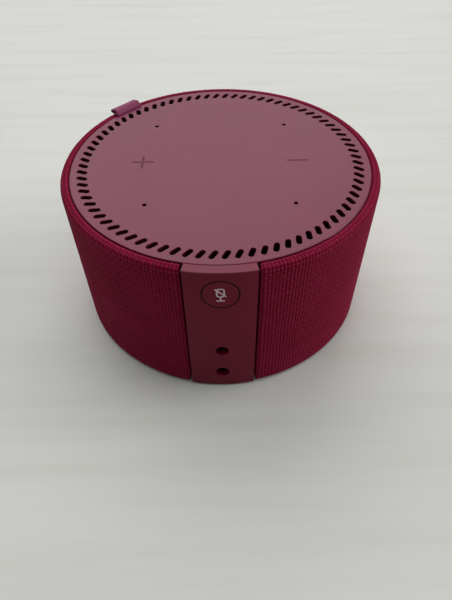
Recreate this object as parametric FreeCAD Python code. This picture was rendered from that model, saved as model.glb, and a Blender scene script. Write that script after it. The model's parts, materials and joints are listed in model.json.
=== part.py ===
import FreeCAD, Part
import math
import os

# Compact round smart speaker with a woven fabric jacket.
# Millimetres, +Z up, the control strip faces -Y.
# The origin is the centre of the footprint, on the table.

V = FreeCAD.Vector
up = V(0, 0, 1)

# Overall size
body_r = 50.0            # outside of the fabric
plate_z = 52.0           # top face of the plate above the table
foot_out = 0.9           # the rubber foot stands this far out of the underside

# Clearances
glue = 0.05              # adhesive film between the fabric and what it covers
wall_gap = 0.2           # shells that slide into each other, radially
trim_gap = 0.2           # visible line round the plate
screw_gap = 0.05         # screw in its hole, radially
button_gap = 0.25        # round the mute button
slide_gap = 0.08         # plunger in its switch, radially
line_gap = 0.02          # parts that sit line to line
hole_gap = 0.15          # screw in the part that it clamps, radially
past = 1.0               # cutters run this far past the faces that they open

# Screws
drive_r_share = 0.45     # drive recess, as a share of the head
drive_h_share = 0.5

# Fabric jacket and the shell it covers
fabric_t = 0.8
lip_w = 2.7              # width of the rolled fabric lip seen from above
lip_round = 1.5
lip_inner_round = 0.7
lip_under_round = 0.5
hem_round = 1.0
fold_round = 0.2         # inside corners of the folded fabric
tuck_depth = 1.8         # how far the fabric turns down inside the lip
shell_t = 1.8
flange_w = 2.8           # inner flange clamped between base plate and speaker box
flange_t = 1.0

# Top plate
plate_t = 2.0
plate_edge_round = 0.3
slot_count = 80
slot_in = 3.83           # plate's edge to the middle of the slots
slot_length = 3.65
slot_width = 1.7
slot_slant = 29.5        # from radial; the outer end leans clockwise seen from above
mic_xy = 21.9
mic_hole_r = 0.7
mark_x = 24.6            # plus sign on the left, minus sign on the right
mark_length = 7.0
mark_stroke = 0.7
mark_recess = 0.2
mark_inlay_t = 0.15
skirt_t = 1.0
skirt_depth = 6.0
bead_r = 0.3             # snap bead on the skirt
bead_up = 0.6            # bead above the skirt's lower edge
bead_sunk = 0.2
lead_in = 0.25           # chamfer where one shell slides into another
scrim_t = 0.2
film_t = 0.25
film_r = 38.0
film_tail_half = 4.0
film_tail_y = 26.0
film_clear = 0.4         # round the posts and microphones
scrim_margin = 0.4       # past the slots' inner ends

# Control strip
strip_half_deg = 11.5
strip_t = 2.0
groove_w = 0.7           # dark groove between strip and fabric
wing_deg = 4.4           # the wings reach this far behind the ends of the shell
wing_t = 0.95
strip_pocket_half = 8.2
rib_in = 0.5             # the side ribs start this far inside the strip's solid
strip_clear = 0.3        # above the box's floor and below the plate
button_drop = 3.2        # top of the button below the plate's top face
button_r = 5.0
button_travel = 0.35
button_flange = 0.55     # the flange behind the strip is this much wider
button_flange_t = 0.8
button_stem_r = 1.6
button_cap_t = 3.5
icon_t = 0.15
icon_stroke = 0.45
icon_line_gap = 0.01
head_half_w = 0.98       # microphone's outline, to the middle of its stroke
head_half_h = 1.48
head_up = 0.7            # above the button's centre
stem_down = 2.4          # lower end of the stem, below the button's centre
icon_foot_half = 1.15
icon_foot_low = 2.55
icon_foot_high = 2.1
slash_half = 2.1
slash_deg = 43.0
audio_z = 18.9           # sockets above the table
audio_mouth = 0.2        # the strip's opening is this much wider than the bore
audio_bore_r = 1.8
power_z = 7.9
power_mouth = 0.1
power_bore_r = 2.05
power_pin_r = 0.8

# Port board, behind the strip
port_depth = 13.8        # strip's inner face to the board face that carries the sockets
board_t = 1.2
port_board_w = 18.0
port_board_foot = 0.5    # board end above the base plate
port_board_head = 1.5    # board end below the top plate
port_boss_x = 5.8
port_boss_r = 2.2
port_boss_down = 22.0
port_screw_r = 0.9
port_screw_l = 5.5
port_screw_head_r = 1.8
port_screw_head_h = 1.2
port_screw_drive_r = 0.8
socket_in = 0.3          # sockets start this far inside the strip
jack_rear_wall = 0.7
audio_jack_half = 3.1
power_jack_half = 3.3
contact_back = 0.15      # leaf springs stand this far behind the bore's wall
contact_t = 0.35
contact_w = 0.7
contact_length = 6.0
contact_in = 0.4         # the springs' slots open this far into the bore
pin_back = 3.0           # the power pin's tip behind the socket's mouth
pin_root_r = 1.2         # riveted through the rear wall
audio_contact_angles = (0, 90, 180)
power_contact_angles = (180,)
switch_half = 3.0
switch_h = 3.5
chamber_r = 2.45
chamber_front = 0.7      # wall in front of the switch's chamber
chamber_back = 0.9
plunger_r = 1.7
plunger_out = 5.0
plunger_collar = 0.5
collar_t = 0.6
collar_in = 0.75         # collar's front behind the switch's face
dome_r = 2.3
dome_h = 2 * button_travel                   # it snaps through at half its height
dome_t = 0.1
dome_foot = 1.05         # in front of the port board

# Flat cable between the boards
cable_half = 3.8
cable_t = 0.2
plug_half = 4.6
plug_t = 1.1
plug_l = 3.0
plug_low = 6.5           # port board's socket, below the main board
plug_y = 2.4             # main board's socket, behind its front edge
cable_round = 0.6

# Speaker box and baffle
base_t = 2.0
box_wall = 1.6
box_floor = 1.6
box_rim_t = 0.8          # thinned wall that the plate's skirt slides into
front_wall_gap = 2.0     # port board to the flat wall of the air chamber
notch_gap = 0.5          # beside the strip's wings, in the opening for them
baffle_down = 11.1       # underside of the baffle, below the main board
baffle_t = 2.0
gasket_t = 0.5
ledge_w = 1.5
ledge_h = 3.0
boss_ring_in = 2.95      # screws inside the box's wall
boss_r = 2.9
boss_angles = (-30, 30, 90, 150, 210)
baffle_screw_r = 1.2
base_screw_ring_r = 31.0
base_screw_angles = (45, 135, 225, 315)
base_screw_r = 1.25
base_screw_head_r = 2.3
base_screw_head_h = 1.0
base_screw_l = 7.0
base_head_gap = 0.3
base_head_deep = 0.1
base_edge_round = 0.4
base_boss_r = 3.0
base_boss_h = 5.5
pad_margin = 1.0         # pads under the box, wider than the posts
rim_down = 0.5           # thinned wall below the skirt
rim_slope = 0.8
joined = 0.1             # pieces of one moulding reach into each other
box_screw_depth = 9.0
boss_in = 0.4            # screw bosses stand outwards of their screws, into the wall
baffle_screw_l = 8.0
baffle_head_r = 2.2
baffle_head_h = 1.4
foot_r_out = 43.0
foot_r_in = 36.0
foot_bed = 0.6           # depth of the groove that the foot is glued into
foot_round = 0.3
foot_gap = 0.1

# Main board, under the plate
main_board_down = 4.4    # underside, below the plate's underside
board_edge = 2.0         # round edge outside the wires
board_front_gap = 0.5    # front edge behind the chamber's flat wall
tongue_half = 15.0
plate_boss_ring_r = 33.0
plate_boss_r = 2.75
plate_boss_angles = (-30, 90, 210)
board_screw_r = 1.0
board_screw_l = 3.8
board_head_r = 2.1
board_head_h = 1.3
blind_t = 0.4            # plastic left over a blind screw hole
mic_size = (3.8, 3.0, 1.0)
mic_gasket_r = 2.4
mic_port_r = 0.35
mic_port_depth = 0.3
can_size = (18.0, 14.0, 2.4)
can_at = (-9.0, 2.0)
can_sheet = 0.3
chip_size = (10.0, 10.0, 1.2)
amplifier_box = (8.0, 15.0, -6.0, 1.0)       # x, x, y, y
amplifier_h = 1.0
choke_box = (8.0, 14.0, 6.0, 12.0)
choke_h = 2.6
capacitor_r = 2.5
capacitor_h = 3.5
capacitor_places = ((18.5, 9.5), (18.5, 15.5))
wire_socket_half = (1.9, 3.0)
wire_socket_h = 3.0
film_socket_box = (-4.5, 4.5, 24.5, 27.5)
film_socket_h = 1.0
antenna_in = 9.0         # from the board's round edge
antenna_x = (-24.0, -12.0)
antenna_foot = 3.0
antenna_h = 2.6
antenna_t = 0.3

# Driver, a two inch unit that faces up
chamber_h = 29.0         # chamber's height that the driver's depths below are for
spider_down = 5.5        # spider below the baffle's underside, for the terminals and wires
driver_hole_r = 24.0
flange_lap = 4.0         # flange beyond the baffle's hole
driver_seal_t = 0.4
flange_plate_t = 1.0
driver_screw_r = 0.75
driver_screw_l = 4.0
driver_head_r = 1.4
driver_head_h = 0.9
driver_screw_angles = (45, 135, 225, 315)
basket_rim = 1.2         # pressed rim inside the baffle's hole
basket_drop = 13.3       # flange underside to basket floor underside
basket_floor_r = 16.2
sheet_t = 1.0            # pressed sheet of the basket
ledge_step = 1.6         # ledge that carries the spider
window_half = 6.0
window_x = 6.0
window_margin = 1.2
rim_window_half = 7.0
rim_window_margin = 0.8
tab_half = 2.5           # tab that carries the terminals
tab_low = 0.4
tab_high = 2.2
spider_r = 17.6
spider_drop = 7.9
spider_t = 0.3
spider_wave = 0.55
spider_folds = 9
cone_r = 19.4
cone_drop = 6.4
cone_t = 0.45
cone_flat = 1.4          # rim that the surround is glued on
surround_t = 0.4
surround_up = 0.45       # glued edge above the flange
surround_margin = 1.0    # glued on the cone
roll_edge = 0.3
cap_h = 2.6
cap_t = 0.35
cap_up = 1.7             # above the cone's neck
former_down = 4.0        # below the basket's floor
former_up = 1.6
former_r = 9.0
former_t = 0.25
coil_t = 0.4
coil_h = 4.0
air_gap = 0.3            # former to pole
coil_clear = 0.25        # coil to washer
washer_t = 2.5
washer_r = 16.0
magnet_r = 22.0
magnet_in_r = 11.5
magnet_t = 8.0
yoke_r = 19.0
yoke_t = 3.5
pole_vent_r = 2.5
magnet_round = 0.5
yoke_round = 0.6
terminal_in = 1.4        # terminals inside the driver's hole
terminal_half = 5.0
terminal_t = 1.0
terminal_low = 1.6
terminal_high = 3.6
lug_t = 0.4
lug_half = 1.1
lug_pitch = 2.2
lug_low = 0.6
lug_high = 3.0
wire_out = 6.0           # speaker wires beyond the flange, where they rise through the baffle
wire_r = 0.5
wire_half = 1.2          # from the middle to each wire
wire_rise = 2.6          # wires above the spider
wire_under = 0.1         # end of the wires' bend, below the baffle
grommet_r = 2.15
grommet_head_r = 3.1
grommet_head_h = 0.8

# Ribbon tag, folded over the lip
tag_deg = 135.0
tag_w = 10.4
tag_t = 0.45
tag_rise = 2.0           # above the plate
tag_over = 0.35          # outermost point of the fold, beyond the fabric
tag_gap = 0.05           # ribbon to the fabric lip at its corners
tag_anchor = 1.9         # clamped length below the plate's top face
tag_slack = 0.12         # notch in the plate, behind the ribbon
tag_fold = 0.5           # rounding where the ribbon turns back
tag_crown = 0.35         # crown's place across the lip, as a share

# Derived places
fabric_z = foot_out                          # lower edge of the fabric
lip_r = body_r - lip_w                       # inner edge of the fabric lip
plate_r = lip_r - trim_gap
plate_low_z = plate_z - plate_t
slot_ring_r = plate_r - slot_in
main_board_z = plate_low_z - main_board_down
baffle_z = main_board_z - baffle_down
flange_r = driver_hole_r + flange_lap
wire_x = flange_r + wire_out
main_board_r = wire_x + board_edge
tag_reach = body_r + tag_over
shell_r = body_r - fabric_t - glue
shell_in_r = shell_r - shell_t
box_r = shell_in_r - wall_gap
box_in_r = box_r - box_wall
box_rim_in_r = box_r - box_rim_t
boss_ring_r = box_in_r - boss_ring_in
notch_half = box_r * math.sin(math.radians(strip_half_deg + wing_deg)) + notch_gap
skirt_r = box_rim_in_r - 0.75 * wall_gap
skirt_low_z = plate_low_z - skirt_depth
bead_z = skirt_low_z + 2 * bead_r + bead_up
base_top_z = foot_out + base_t
box_low_z = base_top_z + flange_t
chamber_low_z = box_low_z + box_floor
baffle_top_z = baffle_z + baffle_t
baffle_r = box_in_r - wall_gap
seat_z = baffle_z - gasket_t
button_z = plate_z - button_drop - button_r
strip_in_r = body_r - strip_t
button_flange_r = button_r + button_flange
audio_hole_r = audio_bore_r + audio_mouth
power_hole_r = power_bore_r + power_mouth
port_front_y = -strip_in_r + port_depth
port_back_y = port_front_y + board_t
front_wall_y = port_back_y + front_wall_gap
plunger_tip_y = port_front_y - switch_h - plunger_out
main_board_front_y = front_wall_y + board_front_gap
socket_front_y = -strip_in_r + socket_in
main_top_z = main_board_z + board_t
flange_z = baffle_top_z + driver_seal_t      # underside of the driver's flange
flange_top_z = flange_z + flange_plate_t
deep = (baffle_z - chamber_low_z) / chamber_h
basket_low_z = flange_z - basket_drop * deep
basket_in_r = driver_hole_r - basket_rim
driver_screw_ring_r = (flange_r + driver_hole_r) / 2
spider_z = flange_z - spider_drop * deep
hang = (baffle_z - spider_z) / spider_down
wire_z = spider_z + wire_rise * hang
wire_bend = baffle_z - wire_z - wire_under
cone_edge_z = flange_top_z
cone_neck_z = cone_edge_z - cone_drop * deep
washer_z = basket_low_z - washer_t
magnet_z = washer_z - magnet_t * deep
yoke_z = magnet_z - yoke_t
coil_in_r = former_r + former_t
pole_r = former_r - air_gap
washer_in_r = coil_in_r + coil_t + coil_clear
groove_deg = math.degrees(groove_w / body_r)
cover_deg = math.degrees(fabric_t / (body_r - lip_w / 2))
fabric_end_deg = strip_half_deg + groove_deg
tag_root_r = math.sqrt((lip_r - tag_gap) ** 2 - (tag_w / 2) ** 2)   # flat ribbon inside a round lip
terminal_x = driver_hole_r - terminal_in
mic_places = [(sx * mic_xy, sy * mic_xy) for sx in (-1, 1) for sy in (-1, 1)]


def disc(r, z0, z1, x=0.0, y=0.0):
    return Part.makeCylinder(r, z1 - z0, V(x, y, z0))


def ring(r_out, r_in, z0, z1, x=0.0, y=0.0):
    return disc(r_out, z0, z1, x, y).cut(disc(r_in, z0 - 1, z1 + 1, x, y))


def block(x0, x1, y0, y1, z0, z1):
    return Part.makeBox(x1 - x0, y1 - y0, z1 - z0, V(x0, y0, z0))


def rod_y(r, y0, y1, x, z):
    return Part.makeCylinder(r, y1 - y0, V(x, y0, z), V(0, 1, 0))


def polar(r, degrees):
    return r * math.cos(math.radians(degrees)), r * math.sin(math.radians(degrees))


def spun(shape, degrees):
    turned = shape.copy()
    turned.rotate(V(0, 0, 0), up, degrees)
    return turned


def group(solids):
    return Part.makeCompound(solids)


def outline(corners, place):
    """Face inside a closed outline: corners are (u, v) or (u, v, rounding)."""
    points = [V(c[0], c[1], 0) for c in corners]
    stretches = []
    for i, p in enumerate(points):
        rounding = corners[i][2] if len(corners[i]) > 2 else 0.0
        if rounding == 0.0:
            stretches.append((p, None, p))
            continue
        a = (points[i - 1] - p).normalize()
        b = (points[(i + 1) % len(points)] - p).normalize()
        half = a.getAngle(b) / 2
        inward = (a + b).normalize()
        start = p + a * (rounding / math.tan(half))
        end = p + b * (rounding / math.tan(half))
        middle = p + inward * (rounding / math.sin(half) - rounding)
        stretches.append((start, middle, end))
    edges = []
    for i, (start, middle, end) in enumerate(stretches):
        if middle is not None:
            edges.append(Part.Arc(place(start), place(middle), place(end)).toShape())
        following = stretches[(i + 1) % len(stretches)][0]
        if end.distanceToPoint(following) > 1e-6:
            edges.append(Part.LineSegment(place(end), place(following)).toShape())
    return Part.Face(Part.Wire(edges))


def turned(corners, start_deg=0.0, sweep_deg=360.0):
    """Solid of revolution about Z from an (r, z) outline."""
    face = outline(corners, lambda p: V(p.x, 0, p.y))
    return spun(face.revolve(V(0, 0, 0), up, sweep_deg), start_deg)


def drawn_x(corners, half_width):
    """Straight piece across X with a (y, z) outline."""
    face = outline(corners, lambda p: V(-half_width, p.x, p.y))
    return face.extrude(V(2 * half_width, 0, 0))


def drawn_y(corners, y0, y1, x=0.0, z=0.0):
    """Straight piece along Y with an (x, z) outline about a centre."""
    face = outline(corners, lambda p: V(p.x + x, y0, p.y + z))
    return face.extrude(V(0, y1 - y0, 0))


def arc_wall(r_out, r_in, half_deg, z0, z1):
    """Curved wall centred on the front."""
    corners = [(r_in, z0), (r_out, z0), (r_out, z1), (r_in, z1)]
    return turned(corners, -90 - half_deg, 2 * half_deg)


def screw(r, head_r, head_h, length, x, y, z, direction):
    """Pan-head screw whose head sits on z; direction +1 drives it up."""
    axis = V(0, 0, direction)
    head = Part.makeCylinder(head_r, head_h, V(x, y, z), axis * -1)
    shank = Part.makeCylinder(r, length, V(x, y, z), axis)
    top = V(x, y, z - direction * head_h)
    drive = Part.makeCylinder(drive_r_share * head_r, drive_h_share * head_h, top, axis)
    return head.fuse(shank).cut(drive).removeSplitter()


def slot_prisms():
    half_l, half_w = slot_length / 2, slot_width / 2
    bar = block(half_w - half_l, half_l - half_w, -half_w, half_w, plate_low_z - past, plate_z + past)
    ends = [disc(half_w, plate_low_z - past, plate_z + past, x) for x in (half_w - half_l, half_l - half_w)]
    slot = spun(bar.fuse(ends).removeSplitter(), -slot_slant)
    slot.translate(V(slot_ring_r, 0, 0))
    pitch = 360.0 / slot_count
    return [spun(slot, -90 + pitch * (k + 0.5)) for k in range(slot_count)]


def mark_bars(z0, z1, grow):
    half = mark_length / 2 + grow
    stroke = mark_stroke / 2 + grow
    across = block(-mark_x - half, -mark_x + half, -stroke, stroke, z0, z1)
    upright = block(-mark_x - stroke, -mark_x + stroke, -half, half, z0, z1)
    minus = block(mark_x - half, mark_x + half, -stroke, stroke, z0, z1)
    return [across.fuse(upright).removeSplitter(), minus]


def tag_notch():
    half = tag_w / 2 + trim_gap
    x0 = tag_root_r - 2 * tag_t - tag_slack
    return spun(block(x0, plate_r + past, -half, half, plate_low_z, plate_z + past), tag_deg)


def plate_boss_places():
    return [polar(plate_boss_ring_r, a) for a in plate_boss_angles]


def plate_skirt():
    """Ring under the plate, with the bead that snaps into the speaker box."""
    inner = skirt_r - skirt_t
    skirt = turned([(inner, skirt_low_z), (skirt_r - lead_in, skirt_low_z),
                    (skirt_r, skirt_low_z + lead_in), (skirt_r, plate_low_z), (inner, plate_low_z)])
    sunk_r = skirt_r - bead_sunk
    bead = turned([(sunk_r, bead_z - bead_r), (skirt_r, bead_z - bead_r), (skirt_r + bead_r, bead_z),
                   (skirt_r, bead_z + bead_r), (sunk_r, bead_z + bead_r)])
    opening = block(-notch_half, notch_half, -body_r, -body_r / 2, skirt_low_z - past, plate_low_z)
    return skirt.fuse(bead).cut(opening)


def top_plate():
    plate = turned([(0, plate_low_z), (plate_r, plate_low_z),
                    (plate_r, plate_z, plate_edge_round), (0, plate_z)])
    plate = plate.fuse(plate_skirt())
    cutters = slot_prisms() + mark_bars(plate_z - mark_recess, plate_z + past, 0.0) + [tag_notch()]
    for x, y in mic_places:
        cutters.append(disc(mic_hole_r, plate_low_z - past, plate_z + past, x, y))
    for x, y in plate_boss_places():
        plate = plate.fuse(disc(plate_boss_r, main_top_z, plate_low_z, x, y))
        cutters.append(disc(board_screw_r + screw_gap, main_top_z - past, plate_low_z - blind_t, x, y))
    return plate.cut(cutters).removeSplitter()


def volume_marks():
    low = plate_z - mark_recess
    return group(mark_bars(low, low + mark_inlay_t, -line_gap))


def slot_scrim():
    outer = skirt_r - skirt_t - screw_gap
    inner = slot_ring_r - slot_length / 2 - scrim_margin
    return ring(outer, inner, plate_low_z - scrim_t, plate_low_z)


def touch_film():
    film = disc(film_r, plate_low_z - film_t, plate_low_z)
    tail_low = main_top_z + film_socket_h
    tail = block(-film_tail_half, film_tail_half, film_tail_y, film_tail_y + film_t, tail_low, plate_low_z)
    film = film.fuse(tail)
    holes = [disc(mic_gasket_r + film_clear, tail_low, plate_z, x, y) for x, y in mic_places]
    holes += [disc(plate_boss_r + film_clear, tail_low, plate_z, x, y) for x, y in plate_boss_places()]
    return film.cut(holes).removeSplitter()


def fabric_sleeve():
    in_r = body_r - fabric_t
    tuck_r = lip_r + fabric_t
    in_top, in_low = plate_z - fabric_t, fabric_z + fabric_t
    tuck_top, tuck_low = plate_z - tuck_depth, fabric_z + tuck_depth
    outside = [(body_r, fabric_z, hem_round), (body_r, plate_z, lip_round), (lip_r, plate_z, lip_inner_round)]
    hollow = outside + [(lip_r, tuck_top), (tuck_r, tuck_top), (tuck_r, in_top, fold_round),
                        (in_r, in_top, lip_round - fabric_t), (in_r, in_low, fold_round),
                        (tuck_r, in_low, fold_round / 2), (tuck_r, tuck_low), (lip_r, tuck_low),
                        (lip_r, fabric_z, lip_under_round)]
    closed = outside + [(lip_r, fabric_z, lip_under_round)]
    sleeve = turned(hollow, -90 + fabric_end_deg + cover_deg, 360 - 2 * (fabric_end_deg + cover_deg))
    right = turned(closed, -90 + fabric_end_deg, cover_deg)
    left = turned(closed, -90 - fabric_end_deg - cover_deg, cover_deg)
    return sleeve.fuse([right, left]).removeSplitter()


def side_shell():
    tuck_r = lip_r + fabric_t + glue
    top = plate_z - fabric_t - glue
    low = fabric_z + fabric_t + glue
    step_z = plate_z - tuck_depth - glue
    flange_r_in = shell_in_r - flange_w
    corners = [(shell_r, low, fold_round), (shell_r, top, lip_round - fabric_t), (tuck_r, top, fold_round),
               (tuck_r, step_z), (shell_in_r, step_z), (shell_in_r, box_low_z),
               (flange_r_in, box_low_z), (flange_r_in, base_top_z), (tuck_r, base_top_z), (tuck_r, low)]
    end_deg = fabric_end_deg + cover_deg + math.degrees(glue / body_r)
    return turned(corners, -90 + end_deg, 360 - 2 * end_deg)


def icon_prisms(grow):
    """Microphone with a slash: a generic mute sign on the button's centre, through its face."""
    y0, y1 = -body_r - past, -strip_in_r + past
    s = icon_stroke / 2 + grow
    w, h = head_half_w, head_half_h
    outer = [(-w - s, -h - s, w), (w + s, -h - s, w), (w + s, h + s, w), (-w - s, h + s, w)]
    r = w - 2 * s
    inner = [(-w + s, -h + s, r), (w - s, -h + s, r), (w - s, h - s, r), (-w + s, h - s, r)]
    head = drawn_y(outer, y0, y1, 0, button_z + head_up)
    head = head.cut(drawn_y(inner, y0 - past, y1 + past, 0, button_z + head_up))
    stem = block(-s, s, y0, y1, button_z - stem_down, button_z + head_up - h)
    half = icon_foot_half + grow
    foot = block(-half, half, y0, y1, button_z - icon_foot_low - grow, button_z - icon_foot_high + grow)
    half = slash_half + grow
    slash = block(-half, half, y0, y1, button_z - s, button_z + s)
    slash.rotate(V(0, 0, button_z), V(0, 1, 0), slash_deg)
    slash.translate(V(0, 0, head_up))
    return head.fuse([stem, foot, slash]).removeSplitter()


def control_strip():
    solid = arc_wall(body_r, lip_r, strip_half_deg, foot_out, plate_z)
    low, high = box_low_z + strip_clear, plate_low_z - strip_clear
    ribs = arc_wall(lip_r + rib_in, box_r - wing_t, strip_half_deg, low, high)
    wings = arc_wall(box_r, box_r - wing_t, strip_half_deg + wing_deg, low, high)
    strip = solid.fuse([ribs, wings])
    pocket = block(-strip_pocket_half, strip_pocket_half, -body_r, 0, base_top_z, plate_low_z)
    strip = strip.cut(disc(strip_in_r, base_top_z, plate_low_z).common(pocket))
    hole_y = port_front_y - port_screw_l - past
    for x, z in port_screw_places():
        boss = rod_y(port_boss_r, -strip_in_r - rib_in, port_front_y, x, z)
        strip = strip.fuse(boss).cut(rod_y(port_screw_r + screw_gap, hole_y, port_front_y + past, x, z))
    openings = [(button_r + button_gap, button_z), (audio_hole_r, audio_z), (power_hole_r, power_z)]
    strip = strip.cut([rod_y(r, -body_r - past, port_front_y - switch_h, 0, z) for r, z in openings])
    return strip.removeSplitter()


def mute_button():
    back_y = -body_r + button_cap_t
    cap = rod_y(button_r, -body_r - past, back_y, 0, button_z).common(disc(body_r, 0, plate_z))
    flange = rod_y(button_flange_r, back_y - button_flange_t, back_y, 0, button_z)
    stem = rod_y(button_stem_r, back_y - button_flange_t, plunger_tip_y, 0, button_z)
    button = cap.fuse([flange, stem])
    recess = icon_prisms(icon_line_gap).cut(disc(body_r - icon_t, 0, plate_z))
    return button.cut(recess).removeSplitter()


def mute_icon():
    icon = icon_prisms(0.0).common(disc(body_r, 0, plate_z))
    return icon.cut(disc(body_r - icon_t + icon_line_gap, 0, plate_z))


def switch_body():
    front_y = port_front_y - switch_h
    body = block(-switch_half, switch_half, front_y, port_front_y,
                 button_z - switch_half, button_z + switch_half)
    shaft = rod_y(plunger_r + slide_gap, front_y - past, port_front_y - chamber_back, 0, button_z)
    chamber = rod_y(chamber_r, front_y + chamber_front, port_front_y - chamber_back, 0, button_z)
    return body.cut(shaft.fuse(chamber).removeSplitter())


def switch_plunger():
    seat_y = port_front_y - switch_h + collar_in
    shaft = rod_y(plunger_r, plunger_tip_y, seat_y + collar_t, 0, button_z)
    collar = rod_y(plunger_r + plunger_collar, seat_y, seat_y + collar_t, 0, button_z)
    return shaft.fuse(collar).removeSplitter()


def shallow_dome(foot_r, height, sheet, centre, axis):
    """Thin spherical cap: the circle through its foot and its top sets the ball's radius."""
    ball_r = (foot_r ** 2 + height ** 2) / (2 * height)
    middle = centre + axis * (height - ball_r)
    ball = Part.makeSphere(ball_r, middle).cut(Part.makeSphere(ball_r - sheet, middle))
    return ball.common(Part.makeCylinder(foot_r, height + past, centre, axis))


def switch_dome():
    return shallow_dome(dome_r, dome_h, dome_t, V(0, port_front_y - dome_foot, button_z), V(0, -1, 0))


def port_screw_places():
    return [(x, plate_z - port_boss_down) for x in (-port_boss_x, port_boss_x)]


def port_board():
    board = block(-port_board_w / 2, port_board_w / 2, port_front_y, port_back_y,
                  base_top_z + port_board_foot, plate_low_z - port_board_head)
    r, y0, y1 = port_screw_r + hole_gap, port_front_y - past, port_back_y + past
    return board.cut([rod_y(r, y0, y1, x, z) for x, z in port_screw_places()])


def port_screws():
    screws = []
    top_y = port_back_y + port_screw_head_h
    for x, z in port_screw_places():
        head = rod_y(port_screw_head_r, port_back_y, top_y, x, z)
        drive = rod_y(port_screw_drive_r, top_y - drive_h_share * port_screw_head_h, top_y + past, x, z)
        shank = rod_y(port_screw_r, port_front_y - port_screw_l, port_back_y, x, z)
        screws.append(head.cut(drive).fuse(shank).removeSplitter())
    return group(screws)


def beside_bore(r0, r1, half_width, length, z, angle):
    """Bar along the back of a bore, turned to an angle about it."""
    bar = block(r0, r1, port_front_y - length, port_front_y, z - half_width, z + half_width)
    bar.rotate(V(0, 0, z), V(0, 1, 0), angle)
    return bar


def jack_contacts(bore_r, z, angles):
    """Leaf springs in slots beside a bore, clear of the plug's path."""
    r0 = bore_r + contact_back
    return group([beside_bore(r0, r0 + contact_t, contact_w / 2, contact_length, z, a) for a in angles])


def jack_body(half, bore_r, z, angles):
    body = block(-half, half, socket_front_y, port_front_y, z - half, z + half)
    body = body.cut(rod_y(bore_r, socket_front_y - past, port_front_y - jack_rear_wall, 0, z))
    r0, r1 = bore_r - contact_in, bore_r + contact_back + contact_t + screw_gap
    half_width, length = contact_w / 2 + screw_gap, contact_length + screw_gap
    return body.cut([beside_bore(r0, r1, half_width, length, z, angle) for angle in angles])


def audio_jack():
    return jack_body(audio_jack_half, audio_bore_r, audio_z, audio_contact_angles)


def audio_contacts():
    return jack_contacts(audio_bore_r, audio_z, audio_contact_angles)


def power_jack():
    body = jack_body(power_jack_half, power_bore_r, power_z, power_contact_angles)
    return body.cut(rod_y(pin_root_r + line_gap, port_front_y - jack_rear_wall - past, port_front_y + past,
                          0, power_z))


def power_contact():
    return jack_contacts(power_bore_r, power_z, power_contact_angles)


def power_pin():
    """Round-nosed centre pin with a wider root, which is riveted through the jack's rear wall."""
    nose_y = socket_front_y + pin_back + power_pin_r
    wall_y = port_front_y - jack_rear_wall
    pin = rod_y(power_pin_r, nose_y, wall_y, 0, power_z)
    nose = Part.makeSphere(power_pin_r, V(0, nose_y, power_z))
    root = rod_y(pin_root_r, wall_y, port_front_y, 0, power_z)
    return pin.fuse([nose, root]).removeSplitter()


def cable_sockets():
    low = main_board_z - plug_low
    at_port = block(-plug_half, plug_half, port_back_y, port_back_y + plug_t, low, low + plug_l)
    y = main_board_front_y + plug_y
    at_main = block(-plug_half, plug_half, y, y + plug_l, main_board_z - plug_t, main_board_z)
    return group([at_port, at_main])


def flat_cable():
    """Ribbon from the top of one socket, round one bend and into the front of the other."""
    t = cable_t
    y0, y1 = port_back_y + (plug_t - t) / 2, main_board_front_y + plug_y
    z0, z1 = main_board_z - plug_low + plug_l, main_board_z - (plug_t - t) / 2
    corners = [(y0, z0), (y0 + t, z0), (y0 + t, z1 - t, cable_round), (y1, z1 - t), (y1, z1),
               (y0, z1, cable_round + t)]
    return drawn_x(corners, cable_half)


def tag_loop():
    """Ribbon folded over the lip: both ends are clamped between plate and jacket."""
    r0, t = tag_root_r, tag_t
    rest = plate_z + tag_gap
    top = plate_z + tag_rise
    back_r = r0 - 2 * t
    crown_r = lip_r + tag_crown * lip_w
    fold_z = (plate_z + top) / 2
    outer = [(back_r, plate_z - tag_anchor), (r0, plate_z - tag_anchor), (r0, rest, tag_fold * 0.7),
             (tag_reach, rest, tag_fold), (tag_reach, fold_z + t / 4, tag_fold),
             (crown_r, top, 2 * t), (back_r, fold_z, 1.5 * t)]
    inner = [(back_r + t, plate_z + t, t / 4), (r0 + t, rest + t, t / 2), (tag_reach - t, rest + t, t / 3),
             (tag_reach - t, fold_z, t / 3), (crown_r, top - t, t), (back_r + t, fold_z - t / 4, t / 2)]
    ribbon = outline(outer, lambda p: V(p.x, -tag_w / 2, p.y)).extrude(V(0, tag_w, 0))
    opening = outline(inner, lambda p: V(p.x, -tag_w, p.y)).extrude(V(0, 2 * tag_w, 0))
    return spun(ribbon.cut(opening), tag_deg)


def base_screw_places():
    return [polar(base_screw_ring_r, a) for a in base_screw_angles]


def base_plate():
    plate = turned([(0, foot_out), (plate_r, foot_out, base_edge_round),
                    (plate_r, base_top_z), (0, base_top_z)])
    bed = ring(foot_r_out + foot_gap, foot_r_in - foot_gap, foot_out - past, foot_out + foot_bed)
    head_top = foot_out + base_screw_head_h + base_head_deep
    cutters = [bed]
    for x, y in base_screw_places():
        cutters.append(disc(base_screw_head_r + base_head_gap, foot_out - past, head_top, x, y))
        cutters.append(disc(base_screw_r + hole_gap, 0, base_top_z + past, x, y))
    return plate.cut(cutters)


def base_screws():
    z = foot_out + base_screw_head_h + base_head_deep
    return group([screw(base_screw_r, base_screw_head_r, base_screw_head_h, base_screw_l, x, y, z, 1)
                  for x, y in base_screw_places()])


def foot_ring():
    top = foot_out + foot_bed
    return turned([(foot_r_in, 0, foot_round), (foot_r_out, 0, foot_round),
                   (foot_r_out, top), (foot_r_in, top)])


def behind(y, shape):
    """The part of a shape behind a plane across Y."""
    far = 2 * body_r
    return shape.common(block(-far, far, y, far, -far, far))


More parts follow.
